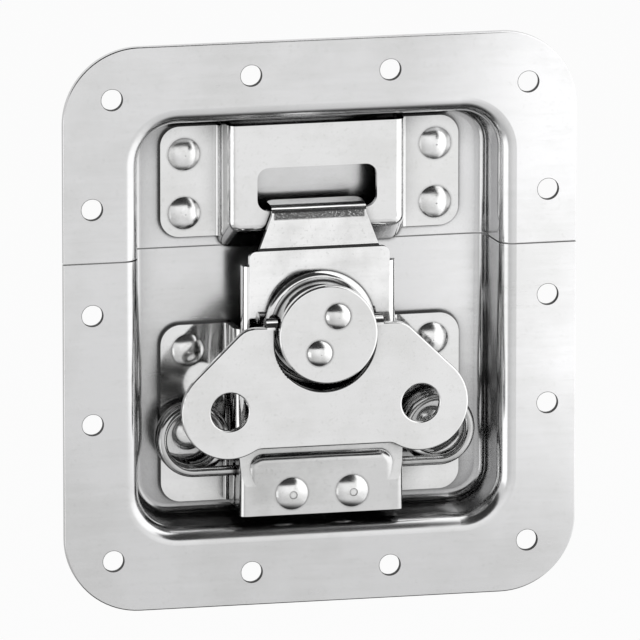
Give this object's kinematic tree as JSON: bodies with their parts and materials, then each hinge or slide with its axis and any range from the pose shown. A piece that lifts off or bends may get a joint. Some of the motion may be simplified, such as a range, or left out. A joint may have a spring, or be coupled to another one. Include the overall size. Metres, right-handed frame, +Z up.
{
  "type": "recessed butterfly latch",
  "caption": "Recessed case latch in a pressed dish: folding butterfly wing turns an eccentric cam that lifts or pulls a hook plate in a keeper slot.",
  "frame": {"origin": "centre of the flange on its back face, which seats on the case wall", "axes": "+Z up along the flange's long side towards the keeper, -Y towards the user, +X to the user's right"},
  "size_m": [0.102, 0.0224, 0.112],
  "materials": {
    "zinc_sheet": "satin",
    "bright_plate": "bright",
    "rivet_steel": "bright",
    "spring_steel": "bright"
  },
  "bodies": {
    "case_half": {"upper_dish": "zinc_sheet", "lower_dish": "zinc_sheet", "keeper_plate": "bright_plate", "keeper_rivets": "rivet_steel", "base_plate": "bright_plate", "base_rivets": "rivet_steel", "spring_wire": "spring_steel", "spring_cover": "bright_plate", "cover_rivets": "rivet_steel", "pivot_washer": "rivet_steel"},
    "cam": {"cam_hub": "bright_plate", "cam_cap": "bright_plate", "cap_rivets": "rivet_steel", "pivot_rivet": "rivet_steel", "hinge_pin": "rivet_steel"},
    "hook": {"hook_plate": "bright_plate"},
    "wing": {"wing": "bright_plate"}
  },
  "joints": [
    {"name": "cam_turn", "type": "hinge", "parent": "case_half", "child": "cam", "pos_m": [0, 0, 0.00135], "axis": [0, 1, 0], "range_deg": [0, 180]},
    {"name": "hook_follow", "type": "hinge", "parent": "cam", "child": "hook", "pos_m": [0, 0, -0.00105], "axis": [0, 1, 0], "range_deg": [-180, 0]},
    {"name": "wing_lift", "type": "hinge", "parent": "cam", "child": "wing", "pos_m": [0, -0.00345, -0.0003], "axis": [-1, 0, 0], "range_deg": [0, 90]}
  ],
  "couplings": [
    {"joint": "hook_follow", "follows": "cam_turn", "ratio": -1}
  ]
}
